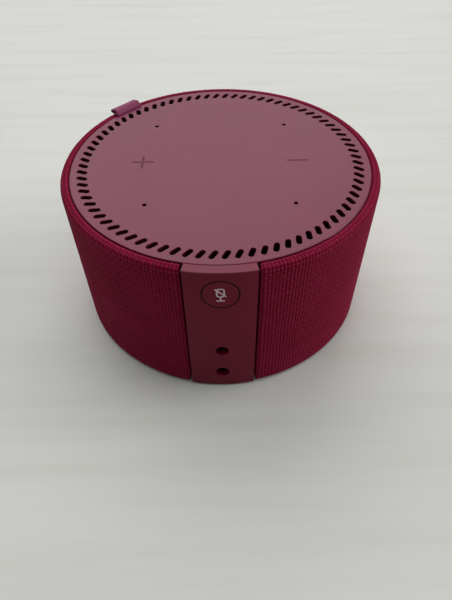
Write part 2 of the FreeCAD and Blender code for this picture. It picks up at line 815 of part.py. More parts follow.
def box_wall_ring():
    """Round wall, thinned at the top for the plate's skirt and grooved for its bead."""
    rim_z = skirt_low_z - rim_down
    groove_h = bead_r + hole_gap
    return turned([(box_in_r, box_low_z), (box_r - lead_in, box_low_z), (box_r, box_low_z + lead_in),
                   (box_r, plate_low_z), (box_rim_in_r, plate_low_z), (box_rim_in_r, bead_z + groove_h),
                   (box_rim_in_r + groove_h, bead_z), (box_rim_in_r, bead_z - groove_h),
                   (box_rim_in_r, rim_z), (box_in_r, rim_z - rim_slope)])


def baffle_screw_places():
    return [polar(boss_ring_r, a) for a in boss_angles]


def speaker_box():
    floor = disc(box_in_r + joined, box_low_z, chamber_low_z)
    ledge = ring(box_in_r + joined, box_in_r - ledge_w, seat_z - ledge_h, seat_z)
    front = block(-box_r, box_r, front_wall_y, front_wall_y + box_wall, box_low_z, seat_z)
    front = front.common(disc(box_in_r + joined, 0, plate_z))
    shape = box_wall_ring().fuse([floor, behind(front_wall_y, ledge), front])
    cutters = [block(-notch_half, notch_half, -body_r, front_wall_y, 0, plate_z)]
    for angle in boss_angles:
        x, y = polar(boss_ring_r + boss_in, angle)
        shape = shape.fuse(disc(boss_r, chamber_low_z - joined, seat_z, x, y))
    for x, y in baffle_screw_places():
        cutters.append(disc(baffle_screw_r + screw_gap, seat_z - box_screw_depth, seat_z + past, x, y))
    for x, y in base_screw_places():
        pad = disc(base_boss_r + pad_margin, base_top_z, box_low_z + joined, x, y)
        post = disc(base_boss_r, chamber_low_z - joined, chamber_low_z + base_boss_h, x, y)
        shape = shape.fuse([pad, post])
        cutters.append(disc(base_screw_r + screw_gap, 0, chamber_low_z + base_boss_h - past, x, y))
    return shape.cut(cutters).removeSplitter()


def baffle_gasket():
    outer = behind(front_wall_y, disc(baffle_r, seat_z, baffle_z))
    opening = disc(box_in_r - ledge_w + joined, seat_z - past, baffle_z + past)
    return outer.cut(behind(front_wall_y + box_wall, opening))


def driver_screw_places():
    return [polar(driver_screw_ring_r, a) for a in driver_screw_angles]


def driver_holes(shape, r):
    return shape.cut([disc(r, 0, plate_z, x, y) for x, y in driver_screw_places()])


def baffle():
    plate = behind(front_wall_y, disc(baffle_r, baffle_z, baffle_top_z))
    cutters = [disc(driver_hole_r, 0, plate_z), disc(grommet_r + screw_gap, 0, plate_z, wire_x, 0)]
    cutters += [disc(baffle_screw_r + hole_gap, 0, plate_z, x, y) for x, y in baffle_screw_places()]
    return driver_holes(plate.cut(cutters), driver_screw_r + screw_gap)


def baffle_screws():
    return group([screw(baffle_screw_r, baffle_head_r, baffle_head_h, baffle_screw_l, x, y, baffle_top_z, -1)
                  for x, y in baffle_screw_places()])


def driver_gasket():
    return driver_holes(ring(flange_r, driver_hole_r, baffle_top_z, flange_z), driver_screw_r + hole_gap)


def driver_screws():
    return group([screw(driver_screw_r, driver_head_r, driver_head_h, driver_screw_l, x, y, flange_top_z, -1)
                  for x, y in driver_screw_places()])


def driver_basket():
    """Pressed steel frame: flange, sloping side with windows, spider ledge and floor."""
    low = basket_low_z
    floor_in = washer_in_r + sheet_t / 2
    ledge_z = spider_z - sheet_t
    frame = turned([(basket_in_r - bead_sunk, flange_z), (basket_in_r - bead_sunk, flange_top_z),
                    (flange_r, flange_top_z), (flange_r, flange_z), (driver_hole_r - bead_sunk, flange_z),
                    (spider_r + ledge_step, ledge_z), (basket_floor_r + 0.8 * sheet_t, ledge_z),
                    (basket_floor_r, low), (floor_in, low), (floor_in, low + sheet_t),
                    (basket_floor_r - sheet_t, low + sheet_t), (spider_r - ledge_step, ledge_z),
                    (spider_r - ledge_step, spider_z), (spider_r + ledge_step / 4, spider_z)])
    window = block(window_x, body_r, -window_half, window_half, low + window_margin, spider_z - window_margin)
    upper = block(window_x, body_r, -rim_window_half, rim_window_half,
                  spider_z + window_margin, flange_z - rim_window_margin)
    cutters = [spun(w, a) for a in driver_screw_angles for w in (window, upper)]
    tab = block(spider_r + ledge_step + bead_sunk, terminal_x, -tab_half, tab_half,
                spider_z + tab_low * hang, spider_z + tab_high * hang)
    frame = frame.cut(cutters).fuse(tab)
    return driver_holes(frame, driver_screw_r + hole_gap).removeSplitter()


def driver_surround():
    """Half-roll rubber edge between the cone and the basket's flange."""
    t, z, edge = surround_t, flange_top_z, surround_up
    r0, r1 = cone_r + joined, basket_in_r + 2 * t
    mid = (r0 + r1 - 3 * bead_sunk) / 2
    half = mid - r0 - 2 * roll_edge
    left, right = mid - half, mid + half
    corners = [(r0 - surround_margin, z + edge), (r0 - surround_margin, z + edge + t),
               (left, z + edge + t, roll_edge), (left + roll_edge, z + half + t, half * 0.8),
               (right - joined, z + half + t, half * 0.8), (right + roll_edge - joined, z + t, roll_edge),
               (r1, z + t), (r1, z), (right - t, z, roll_edge / 2),
               (right - t - roll_edge, z + half, half * 0.6), (left + t + roll_edge, z + half, half * 0.6),
               (left + t, z + edge, roll_edge / 2)]
    return turned(corners)


def driver_cone():
    """Straight paper cone from its neck on the former to a flat rim under the surround."""
    neck = coil_in_r + line_gap
    under, rim = cone_edge_z - cone_t, cone_edge_z + surround_up - line_gap
    foot_out_r = cone_r - cone_flat + bead_sunk
    corners = [(neck, cone_neck_z), (foot_out_r, under), (cone_r, under), (cone_r, rim),
               (cone_r - cone_flat, rim), (neck, cone_neck_z + 2 * cone_t)]
    return turned(corners)


def dust_cap():
    return shallow_dome(coil_in_r - screw_gap, cap_h, cap_t, V(0, 0, cone_neck_z + cap_up), up)


def coil_former():
    return ring(coil_in_r, former_r, basket_low_z - former_down * deep, cone_neck_z + former_up)


def voice_coil():
    middle = basket_low_z - washer_t / 2
    return ring(coil_in_r + coil_t, coil_in_r + line_gap / 2, middle - coil_h / 2, middle + coil_h / 2)


def driver_spider():
    """Corrugated damper from the former to the basket's ledge: its last fold lies flat on the ledge."""
    inner = coil_in_r + line_gap / 2
    step = (spider_r - inner) / spider_folds
    lower = [(inner + k * step, spider_z + (spider_wave if k % 2 else 0.0)) for k in range(spider_folds - 1)]
    lower += [(spider_r - step, spider_z), (spider_r, spider_z)]
    return turned(lower + [(r, z + spider_t) for r, z in reversed(lower)])


def driver_washer():
    return ring(washer_r, washer_in_r, washer_z, basket_low_z)


def driver_magnet():
    return turned([(magnet_in_r, magnet_z), (magnet_r, magnet_z, magnet_round),
                   (magnet_r, washer_z, magnet_round), (magnet_in_r, washer_z)])


def driver_yoke():
    return turned([(pole_vent_r, yoke_z), (yoke_r, yoke_z, yoke_round), (yoke_r, magnet_z),
                   (pole_r, magnet_z), (pole_r, basket_low_z), (pole_vent_r, basket_low_z)])


def driver_terminals():
    x = terminal_x + terminal_t
    z = spider_z + terminal_low * hang
    board = block(terminal_x, x, -terminal_half, terminal_half, spider_z, z + terminal_high * hang)
    lugs = [block(x, x + lug_t, y - lug_half, y + lug_half, z - lug_low * hang, z + lug_high * hang)
            for y in (-lug_pitch, lug_pitch)]
    return board.fuse(lugs)


def speaker_wires():
    """Two insulated wires: out of the terminals, round one bend and up to the main board."""
    x0, x1 = terminal_x + terminal_t + lug_t, wire_x
    z0, z1 = wire_z, main_board_z - wire_socket_h
    inside = wire_bend * (1 - math.sqrt(0.5))
    wires = []
    for y in (-wire_half, wire_half):
        run = Part.LineSegment(V(x0, y, z0), V(x1 - wire_bend, y, z0)).toShape()
        arc = Part.Arc(V(x1 - wire_bend, y, z0), V(x1 - inside, y, z0 + inside),
                       V(x1, y, z0 + wire_bend)).toShape()
        rise = Part.LineSegment(V(x1, y, z0 + wire_bend), V(x1, y, z1)).toShape()
        section = Part.Wire([Part.makeCircle(wire_r, V(x0, y, z0), V(1, 0, 0))])
        wires.append(Part.Wire([run, arc, rise]).makePipeShell([section], True, False))
    return group(wires)


def wire_grommet():
    body = disc(grommet_r, baffle_z, baffle_top_z, wire_x, 0)
    body = body.fuse(disc(grommet_head_r, baffle_top_z, baffle_top_z + grommet_head_h, wire_x, 0))
    body = body.cut([disc(wire_r + screw_gap, 0, plate_z, wire_x, y) for y in (-wire_half, wire_half)])
    return body.removeSplitter()


def main_board():
    round_part = behind(main_board_front_y, disc(main_board_r, main_board_z, main_top_z))
    tongue = block(-tongue_half, tongue_half, main_board_front_y, 0, main_board_z, main_top_z)
    board = round_part.fuse(tongue).removeSplitter()
    return board.cut([disc(board_screw_r + hole_gap, 0, plate_z, x, y) for x, y in plate_boss_places()])


def board_screws():
    return group([screw(board_screw_r, board_head_r, board_head_h, board_screw_l, x, y, main_board_z, 1)
                  for x, y in plate_boss_places()])


def box_at(size, x, y, z):
    """Upright box on its own centre, from its width, depth and height."""
    w, d, h = size
    return block(x - w / 2, x + w / 2, y - d / 2, y + d / 2, z, z + h)


def mic_capsules():
    port_z = main_top_z + mic_size[2] - mic_port_depth
    return group([box_at(mic_size, x, y, main_top_z).cut(disc(mic_port_r, port_z, plate_z, x, y))
                  for x, y in mic_places])


def mic_gaskets():
    low = main_top_z + mic_size[2]
    return group([ring(mic_gasket_r, mic_hole_r + bead_sunk, low, plate_low_z, x, y) for x, y in mic_places])


def shield_can():
    w, d, h = can_size
    low = main_board_z - h
    hollow = (w - 2 * can_sheet, d - 2 * can_sheet, h)
    return box_at(can_size, *can_at, low).cut(box_at(hollow, *can_at, low + can_sheet))


def processor_chip():
    return box_at(chip_size, *can_at, main_board_z - chip_size[2])


def board_parts():
    """Amplifier, choke, capacitors and small sockets on the main board."""
    low = main_board_z
    half_x, half_y = wire_socket_half
    parts = [block(*amplifier_box, low - amplifier_h, low), block(*choke_box, low - choke_h, low)]
    parts += [disc(capacitor_r, low - capacitor_h, low, x, y) for x, y in capacitor_places]
    parts.append(block(wire_x - half_x, wire_x + half_x, -half_y, half_y, low - wire_socket_h, low))
    parts.append(block(*film_socket_box, main_top_z, main_top_z + film_socket_h))
    return group(parts)


def wifi_antenna():
    """Bent metal strip at the back edge of the main board."""
    y = main_board_r - antenna_in
    foot = block(*antenna_x, y - antenna_foot, y, main_top_z, main_top_z + antenna_t)
    blade = block(*antenna_x, y - antenna_t, y, main_top_z, main_top_z + antenna_h)
    return foot.fuse(blade).removeSplitter()


makers = [
    top_plate, volume_marks, slot_scrim, touch_film, fabric_sleeve, side_shell, control_strip,
    mute_button, mute_icon, switch_body, switch_plunger, switch_dome, port_board, port_screws,
    audio_jack, audio_contacts, power_jack, power_contact, power_pin, cable_sockets, flat_cable,
    tag_loop, base_plate, base_screws, foot_ring, speaker_box, baffle_gasket, baffle, baffle_screws,
    driver_gasket, driver_screws, driver_basket, driver_surround, driver_cone, dust_cap, coil_former,
    voice_coil, driver_spider, driver_washer, driver_magnet, driver_yoke, driver_terminals,
    speaker_wires, wire_grommet, main_board, board_screws, mic_capsules, mic_gaskets, shield_can,
    processor_chip, board_parts, wifi_antenna,
]

os.makedirs("parts", exist_ok=True)
for maker in makers:
    shape = maker()
    shape.exportStep("parts/" + maker.__name__ + ".step")
    box = shape.BoundBox
    print("%-17s solids %2d  volume %9.1f  z %6.2f to %6.2f  valid %s"
          % (maker.__name__, len(shape.Solids), shape.Volume, box.ZMin, box.ZMax, shape.isValid()))
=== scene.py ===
import bpy
import json
import math
import numpy as np
from mathutils import Matrix, Vector


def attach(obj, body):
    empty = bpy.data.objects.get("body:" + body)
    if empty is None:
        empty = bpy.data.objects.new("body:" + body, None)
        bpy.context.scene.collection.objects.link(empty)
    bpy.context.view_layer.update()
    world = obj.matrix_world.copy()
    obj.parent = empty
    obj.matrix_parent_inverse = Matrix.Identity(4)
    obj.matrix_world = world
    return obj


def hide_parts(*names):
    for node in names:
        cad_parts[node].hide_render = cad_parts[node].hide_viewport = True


# Round smart speaker in a woven jacket. Metres, +Z up, the control strip faces -Y.
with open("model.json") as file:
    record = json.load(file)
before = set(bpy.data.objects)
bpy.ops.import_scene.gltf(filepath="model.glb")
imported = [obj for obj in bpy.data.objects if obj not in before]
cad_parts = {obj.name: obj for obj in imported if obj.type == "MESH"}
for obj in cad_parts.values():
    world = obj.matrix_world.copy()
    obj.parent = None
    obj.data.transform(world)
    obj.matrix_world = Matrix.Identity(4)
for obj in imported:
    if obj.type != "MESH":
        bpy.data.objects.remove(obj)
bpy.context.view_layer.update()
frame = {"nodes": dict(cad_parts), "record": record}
mm = 0.001
nodes = frame["nodes"]


def nodePoints(name):
    flat = np.zeros(len(nodes[name].data.vertices) * 3, np.float32)
    nodes[name].data.vertices.foreach_get("co", flat)
    return flat.reshape(-1, 3).astype(float)


camera = {
    "lens": 30.59,                     # mm, on a 36 mm sensor
    "place": (0.00214, -0.14064, 0.1429),
    "heading": 0.45,                   # degrees about Z
    "elevation": 48.116,               # looking down
    "roll": -1.02,
}

lights = [
    # name, centre, aims at, size, watts, colour
    ("ceilingPanel", (-0.12, 1.00, 1.04), (0, 0, 0.03), (1.5, 1.1), 12.0, (0.99, 0.985, 1.0)),
    ("overheadPanel", (0.0, -0.15, 1.20), (0, 0, 0.03), (1.2, 1.0), 4.8, (0.93, 1.0, 0.97)),
    ("windowRight", (1.25, 0.15, 0.60), (0, 0, 0.03), (0.9, 0.7), 10.0, (1.0, 0.97, 0.97)),
    ("windowLeft", (-1.10, 0.60, 0.50), (0, 0, 0.03), (0.9, 0.7), 3.4, (1.0, 0.98, 0.99)),
]
roomLight = {"colour": (0.96, 0.97, 1.0), "strength": 0.12}


def makeCamera():
    data = bpy.data.cameras.new("camera")
    data.lens = camera["lens"]
    data.clip_start = 0.01
    eye = bpy.data.objects.new("camera", data)
    bpy.context.scene.collection.objects.link(eye)
    turn = Matrix.Rotation(math.radians(camera["heading"]), 4, "Z")
    tilt = Matrix.Rotation(math.radians(90 - camera["elevation"]), 4, "X")
    roll = Matrix.Rotation(math.radians(camera["roll"]), 4, "Z")
    eye.matrix_world = Matrix.Translation(camera["place"]) @ turn @ tilt @ roll
    bpy.context.scene.camera = eye
    print("camera", camera["lens"], "mm")


def makeLights():
    for name, centre, target, size, watts, colour in lights:
        data = bpy.data.lights.new(name, "AREA")
        data.shape = "RECTANGLE"
        data.size, data.size_y = size
        data.energy = watts
        data.color = colour
        lamp = bpy.data.objects.new(name, data)
        bpy.context.scene.collection.objects.link(lamp)
        aim = Vector(target) - Vector(centre)
        lamp.matrix_world = Matrix.Translation(centre) @ aim.to_track_quat("-Z", "Y").to_matrix().to_4x4()
    world = bpy.data.worlds.new("room")
    world.use_nodes = True
    sky = world.node_tree.nodes["Background"]
    sky.inputs["Color"].default_value = (*roomLight["colour"], 1)
    sky.inputs["Strength"].default_value = roomLight["strength"]
    bpy.context.scene.world = world
    bpy.context.scene.view_settings.view_transform = "Standard"
    print("lights", len(lights), "and the room")


# Adds a node, links the sockets it is given and sets the plain values.
def addNode(tree, kind, links=None, **settings):
    node = tree.nodes.new(kind)
    for name, value in settings.items():
        setattr(node, name, value)
    for key, value in (links or {}).items():
        if isinstance(value, bpy.types.NodeSocket):
            tree.links.new(value, node.inputs[key])
        else:
            node.inputs[key].default_value = value
    return node


def calc(tree, operation, a, b=0.0, c=0.0, clamp=False):
    node = addNode(tree, "ShaderNodeMath", {0: a, 1: b, 2: c}, operation=operation, use_clamp=clamp)
    return node.outputs[0]


def ramp(tree, value, low, high, out0=0.0, out1=1.0):
    links = {"Value": value, "From Min": low, "From Max": high, "To Min": out0, "To Max": out1}
    return addNode(tree, "ShaderNodeMapRange", links).outputs["Result"]


def blendColour(tree, share, a, b, mode="MIX"):
    node = addNode(tree, "ShaderNodeMix", {0: share, 6: a, 7: b}, data_type="RGBA", blend_type=mode)
    return node.outputs[2]


def newGroup(name, inputs, outputs):
    tree = bpy.data.node_groups.new(name, "ShaderNodeTree")
    for label, kind, value in inputs:
        socket = tree.interface.new_socket(label, in_out="INPUT", socket_type="NodeSocket" + kind)
        if value is not None:
            socket.default_value = value
    for label, kind in outputs:
        tree.interface.new_socket(label, in_out="OUTPUT", socket_type="NodeSocket" + kind)
    return tree, tree.nodes.new("NodeGroupInput").outputs, tree.nodes.new("NodeGroupOutput").inputs


def useGroup(tree, group, links):
    return addNode(tree, "ShaderNodeGroup", links, node_tree=group).outputs


def noiseValue(tree, place, scale, detail):
    links = {"Vector": place, "Scale": scale, "Detail": detail}
    return addNode(tree, "ShaderNodeTexNoise", links).outputs["Fac"]


def rgb(r, g, b):
    # 0-255 display values to linear light
    share = np.array([r, g, b]) / 255.0
    linear = np.where(share <= 0.04045, share / 12.92, ((share + 0.055) / 1.055) ** 2.4)
    return (*[float(x) for x in linear], 1.0)


weave = {
    "swing": 0.42,                     # of a thread's half width
    "weftRib": 0.95,
    "overlap": 0.12,                   # softness where one thread passes under another
    "fibreSlant": 1.6,
    "fibreRelief": 0.05,
    "pitTop": 0.95,
    "pitFloor": 0.40,
}


# Plain weave read from thread counts: x counts warp threads, y counts weft threads.
# Each thread is a rounded rib that rides over and under its neighbours in turn.
def plainWeaveGroup():
    inputs = [("Threads", "Vector", None), ("Twist", "Float", 6.0)]
    outputs = [("Height", "Float"), ("Warp", "Float"), ("PitShade", "Float"), ("Tone", "Float")]
    tree, given, out = newGroup("plainWeave", inputs, outputs)
    split = addNode(tree, "ShaderNodeSeparateXYZ", {0: given["Threads"]}).outputs
    x, y = split[0], split[1]
    fx, fy = calc(tree, "FRACT", x), calc(tree, "FRACT", y)
    column, row = calc(tree, "FLOOR", x), calc(tree, "FLOOR", y)

    def swing(along, across):
        turns = calc(tree, "ADD", calc(tree, "SUBTRACT", along, 0.5), across)
        return calc(tree, "COSINE", calc(tree, "MULTIPLY", turns, math.pi))

    def rib(fraction):
        off = calc(tree, "MULTIPLY_ADD", fraction, 2.0, -1.0)
        under = calc(tree, "MULTIPLY_ADD", calc(tree, "MULTIPLY", off, off), -1.0, 1.0)
        return calc(tree, "SQRT", calc(tree, "MAXIMUM", under, 0.0))

    def fibres(fraction, along):
        slanted = calc(tree, "MULTIPLY_ADD", fraction, weave["fibreSlant"], along)
        return calc(tree, "SINE", calc(tree, "MULTIPLY", slanted, given["Twist"]))

    def threadTone(number, offset):
        cell = addNode(tree, "ShaderNodeCombineXYZ", {0: number, 1: offset}).outputs[0]
        noise = addNode(tree, "ShaderNodeTexWhiteNoise", {"Vector": cell}, noise_dimensions="2D")
        return noise.outputs["Value"]

    warp = calc(tree, "MULTIPLY_ADD", swing(y, column), weave["swing"], rib(fx))
    weftRib = calc(tree, "MULTIPLY", rib(fy), weave["weftRib"])
    weft = calc(tree, "MULTIPLY_ADD", swing(x, row), -weave["swing"], weftRib)
    height = calc(tree, "MAXIMUM", warp, weft)
    onTop = ramp(tree, calc(tree, "SUBTRACT", warp, weft), -weave["overlap"], weave["overlap"])
    twist = addNode(tree, "ShaderNodeMix", {0: onTop, 2: fibres(fy, x), 3: fibres(fx, y)}).outputs[0]
    fibre = calc(tree, "MULTIPLY_ADD", twist, weave["fibreRelief"], height)
    tree.links.new(fibre, out["Height"])
    tree.links.new(onTop, out["Warp"])
    # mask for the painted shade where the threads dip low
    tree.links.new(ramp(tree, height, weave["pitTop"], weave["pitFloor"]), out["PitShade"])
    warpTone = threadTone(column, calc(tree, "MULTIPLY", onTop, 7.0))
    weftTone = threadTone(row, 31.0)
    tone = addNode(tree, "ShaderNodeMix", {0: onTop, 2: weftTone, 3: warpTone}).outputs[0]
    tree.links.new(tone, out["Tone"])
    return tree


# Spark-eroded mould grain: two sizes of pebble, and a slow drift in tone.
def mouldGrainGroup():
    outputs = [("Height", "Float"), ("Tone", "Float")]
    tree, given, out = newGroup("mouldGrain", [("Size", "Float", 0.25)], outputs)
    place = addNode(tree, "ShaderNodeTexCoord").outputs["Object"]
    scale = calc(tree, "DIVIDE", 1000.0, given["Size"])
    fine = noiseValue(tree, place, scale, 2.0)
    pebble = addNode(tree, "ShaderNodeTexVoronoi", {"Vector": place, "Scale": scale}, feature="SMOOTH_F1")
    drift = noiseValue(tree, place, 45.0, 3.0)
    height = calc(tree, "MULTIPLY_ADD", pebble.outputs["Distance"], 0.6, fine)
    tree.links.new(height, out["Height"])
    tree.links.new(drift, out["Tone"])
    return tree


# Lint and dust: sparse small spots, broken up so that they aren't round.
def lintGroup():
    inputs = [("Spacing", "Float", 4.0), ("Amount", "Float", 0.5)]
    tree, given, out = newGroup("lint", inputs, [("Mask", "Float")])
    place = addNode(tree, "ShaderNodeTexCoord").outputs["Object"]
    warpNoise = addNode(tree, "ShaderNodeTexNoise", {"Vector": place, "Scale": 900.0}).outputs["Color"]
    bent = addNode(tree, "ShaderNodeVectorMath", {0: warpNoise, 1: (0.0011, 0.0011, 0.0011), 2: place},
                   operation="MULTIPLY_ADD").outputs[0]
    scale = calc(tree, "DIVIDE", 1000.0, given["Spacing"])
    cells = addNode(tree, "ShaderNodeTexVoronoi", {"Vector": bent, "Scale": scale})
    chosen = addNode(tree, "ShaderNodeSeparateColor", {0: cells.outputs["Color"]}).outputs[0]
    spot = ramp(tree, cells.outputs["Distance"], 0.05, 0.02)
    picked = calc(tree, "LESS_THAN", chosen, given["Amount"])
    tree.links.new(calc(tree, "MULTIPLY", spot, picked, clamp=True), out["Mask"])
    return tree


weaveGroup = plainWeaveGroup()
grainGroup = mouldGrainGroup()
specks = lintGroup()


def newMaterial(name):
    material = bpy.data.materials.new(name)
    material.use_nodes = True
    tree = material.node_tree
    shader = tree.nodes["Principled BSDF"]
    return material, tree, shader


def addBump(tree, shader, height, strength, distance):
    bump = addNode(tree, "ShaderNodeBump", {"Height": height, "Strength": strength, "Distance": distance})
    tree.links.new(bump.outputs["Normal"], shader.inputs["Normal"])


def wovenMaterial(name, look):
    material, tree, shader = newMaterial(name)
    threads = addNode(tree, "ShaderNodeUVMap", uv_map="threads").outputs["UV"]
    woven = useGroup(tree, weaveGroup, {"Threads": threads, "Twist": look["twist"]})
    place = addNode(tree, "ShaderNodeTexCoord").outputs["Object"]
    cloud = noiseValue(tree, place, 60.0, 4.0)
    pale = look["paleThreadAndHighlight"]
    colour = blendColour(tree, woven["Warp"], look["weft"], look["warp"])
    colour = blendColour(tree, ramp(tree, woven["Tone"], 0, 1, 0.0, look["uneven"]), colour, pale)
    # painted highlight on the highest parts of the threads
    colour = blendColour(tree, ramp(tree, woven["Height"], 1.05, 1.42, 0.0, look["crestHighlight"]), colour, pale)
    # painted shade in the pits between the threads
    colour = blendColour(tree, ramp(tree, woven["PitShade"], 0, 1, 0, look["pitShadeAmount"]), colour, look["pitShadeColour"])
    colour = blendColour(tree, ramp(tree, cloud, 0.4, 0.7, 0.0, look["cloud"]), colour, pale)
    lint = useGroup(tree, specks, {"Spacing": 7.0, "Amount": look["lint"]})["Mask"]
    colour = blendColour(tree, calc(tree, "MULTIPLY", lint, 0.55), colour, look["lintColour"])
    tree.links.new(colour, shader.inputs["Base Color"])
    rough = ramp(tree, woven["Tone"], 0, 1, look["rough"] - 0.06, look["rough"] + 0.06)
    tree.links.new(rough, shader.inputs["Roughness"])
    shader.inputs["Sheen Weight"].default_value = look["sheen"]
    shader.inputs["Sheen Roughness"].default_value = 0.45
    shader.inputs["Sheen Tint"].default_value = look["sheenTint"]
    shader.inputs["Specular IOR Level"].default_value = look["specular"]
    addBump(tree, shader, woven["Height"], look["bump"], look["bumpDepth"])
    return material


def plasticMaterial(name, look):
    material, tree, shader = newMaterial(name)
    grain = useGroup(tree, grainGroup, {"Size": look["grainSize"]})
    colour = blendColour(tree, ramp(tree, grain["Tone"], 0.35, 0.65), look["dark"], look["light"])
    dust = useGroup(tree, specks, {"Spacing": 5.0, "Amount": look["dust"]})["Mask"]
    colour = blendColour(tree, calc(tree, "MULTIPLY", dust, 0.3), colour, look["dustColour"])
    place = addNode(tree, "ShaderNodeTexCoord").outputs["Object"]
    height = addNode(tree, "ShaderNodeSeparateXYZ", {0: place}).outputs[2]
    below, full = look["shadeBelow"], look["shade"]
    shade = ramp(tree, height, below - look["shadeBand"], below, full, 0.5 * full)
    shade = calc(tree, "MULTIPLY", shade, calc(tree, "LESS_THAN", height, below))
    colour = blendColour(tree, shade, colour, look["shadeColour"])
    # painted highlight: the colour turns paler towards the top edge, for the light from above
    if "paintedTopHighlight" in look:
        low, high, share = look["paintedTopHighlight"]
        colour = blendColour(tree, ramp(tree, height, low, high, 0.0, share), colour, look["topHighlightColour"])
    # painted shadow lines: dark rings round a centre in the XZ plane, such as round the button
    for centreZ, radius, width in look.get("paintedShadowLines", ()):
        fromCentre = {0: place, 1: (1.0, 0.0, 1.0), 2: (0.0, 0.0, -centreZ)}
        inPlane = addNode(tree, "ShaderNodeVectorMath", fromCentre, operation="MULTIPLY_ADD").outputs[0]
        away = addNode(tree, "ShaderNodeVectorMath", {0: inPlane}, operation="LENGTH").outputs["Value"]
        offLine = calc(tree, "ABSOLUTE", calc(tree, "SUBTRACT", away, radius))
        line = ramp(tree, offLine, width, 0.35 * width, 0.0, 0.8)
        colour = blendColour(tree, line, colour, look["shadowLineColour"])
    tree.links.new(colour, shader.inputs["Base Color"])
    shader.inputs["Specular IOR Level"].default_value = look["specular"]
    rough = ramp(tree, grain["Height"], 0.3, 1.1, look["rough"] - 0.05, look["rough"] + 0.08)
    tree.links.new(rough, shader.inputs["Roughness"])
    addBump(tree, shader, grain["Height"], look["bump"], look["bumpDepth"])
    return material


# Path of straight runs and round corners through (a, b, rounding) points.
# Each piece is its kind, its start or centre, its direction or (radius, first angle, sense), and its length.
def pathPieces(corners):
    points = np.array([c[:2] for c in corners], float)
    pieces, start = [], points[0]
    for k in range(1, len(points)):
        here = points[k]
        rounding = corners[k][2] if len(corners[k]) > 2 and k < len(points) - 1 else 0.0
        before = (here - points[k - 1]) / np.linalg.norm(here - points[k - 1])
        if rounding == 0.0:
            pieces.append(("run", start, before, np.linalg.norm(here - start)))
            start = here
            continue
        after = (points[k + 1] - here) / np.linalg.norm(points[k + 1] - here)
        turn = math.atan2(before[0] * after[1] - before[1] * after[0], float(before @ after))
        reach = rounding * math.tan(abs(turn) / 2)
        entry = here - before * reach
        pieces.append(("run", start, before, np.linalg.norm(entry - start)))
        side = np.array([-before[1], before[0]]) * math.copysign(1, turn)
        centre = entry + side * rounding
        first = math.atan2(-side[1], -side[0])
        pieces.append(("arc", centre, (rounding, first, math.copysign(1, turn)), rounding * abs(turn)))
        start = here + after * reach
    return pieces


def pathLength(pieces):
    return float(sum(piece[3] for piece in pieces))


# Points and right-hand normals: start plus distance on a run, centre plus radius on an arc.
def alongPath(pieces, distance):
    points = np.zeros((len(distance), 2))
    normals = np.zeros((len(distance), 2))
    begun = 0.0
    for number, (kind, origin, shape, length) in enumerate(pieces):
        last = number == len(pieces) - 1
        inside = (distance >= begun - 1e-12) & ((distance < begun + length) | last)
        d = distance[inside] - begun
        if kind == "run":
            points[inside] = origin + d[:, None] * shape
            normals[inside] = (shape[1], -shape[0])
        else:
            radius, first, sense = shape
            angle = first + sense * d / radius
            out = np.column_stack([np.cos(angle), np.sin(angle)])
            points[inside] = origin + radius * out
            normals[inside] = out * sense
        begun += length
    return points, normals


def meshObject(name, points, faces, smooth=True, uv=None):
    mesh = bpy.data.meshes.new(name)
    mesh.from_pydata(points, [], faces)
    mesh.polygons.foreach_set("use_smooth", np.full(len(mesh.polygons), smooth))
    if uv is not None:
        layer = mesh.uv_layers.new(name="threads")
        corner = np.zeros(len(mesh.loops), np.int32)
        mesh.loops.foreach_get("vertex_index", corner)
        layer.data.foreach_set("uv", uv[corner].astype(np.float32).ravel())
    mesh.update()
    piece = bpy.data.objects.new(name, mesh)
    bpy.context.scene.collection.objects.link(piece)
    return piece


# One quad for each cell of a grid of points, row by row.
def gridFaces(rows, columns, start=0, flip=False):
    corner = start + np.arange(rows - 1)[:, None] * columns + np.arange(columns - 1)[None, :]
    quads = np.stack([corner, corner + 1, corner + columns + 1, corner + columns], -1).reshape(-1, 4)
    return quads[:, ::-1] if flip else quads


jacket = {
    "groove": 0.7 * mm,                # between the strip and the folded end
    "lip": 2.7 * mm,
    "lipRound": 1.5 * mm,
    "innerRound": 0.7 * mm,
    "hemRound": 1.0 * mm,
    "tuck": 1.6 * mm,
    "endRound": 0.55 * mm,
    "endWrap": 1.9 * mm,               # turned in beside the groove
    "thickness": 0.45 * mm,
    "warpPitch": 1.07 * mm,
    "weftPitch": 1.12 * mm,
    "crimp": 0.12 * mm,                # how far a thread swings in and out
    "threadHeight": 0.24 * mm,
    "threadSpread": 0.06,              # how much threads differ in height
    "weftRib": 0.95,                   # of the warp's height
    "tuckedRelief": 0.6,               # of the relief, on the folded end
    "foldRoom": (0.1, 0.35, 1.0),      # how far the end folds in: at the edge, past the tuck, on the wall
    "perWarp": 4,
    "perWeft": 3,
    "innerRows": 45,
    "waver": 0.05 * mm,
    "waverFade": 0.25,                 # radians before the back seam
    "seed": 4,
}

jacketLook = {
    "warp": rgb(118, 7, 38),
    "weft": rgb(100, 5, 30),
    # pale thread colour, also the colour of the painted highlight on the thread tops
    "paleThreadAndHighlight": rgb(162, 44, 82),
    "crestHighlight": 0.42,                     # painted highlight: paler tops of the threads
    # painted shade in the pits between threads
    "pitShadeColour": rgb(20, 0, 5),
    "pitShadeAmount": 0.95,
    "uneven": 0.22,
    "cloud": 0.15,
    "twist": 9.0,
    "lint": 0.06,
    "lintColour": rgb(200, 170, 180),
    "rough": 0.82,
    "specular": 0.05,
    "sheen": 0.035,
    "sheenTint": rgb(235, 150, 185),
    "bump": 0.5,
    "bumpDepth": 0.00012,
}


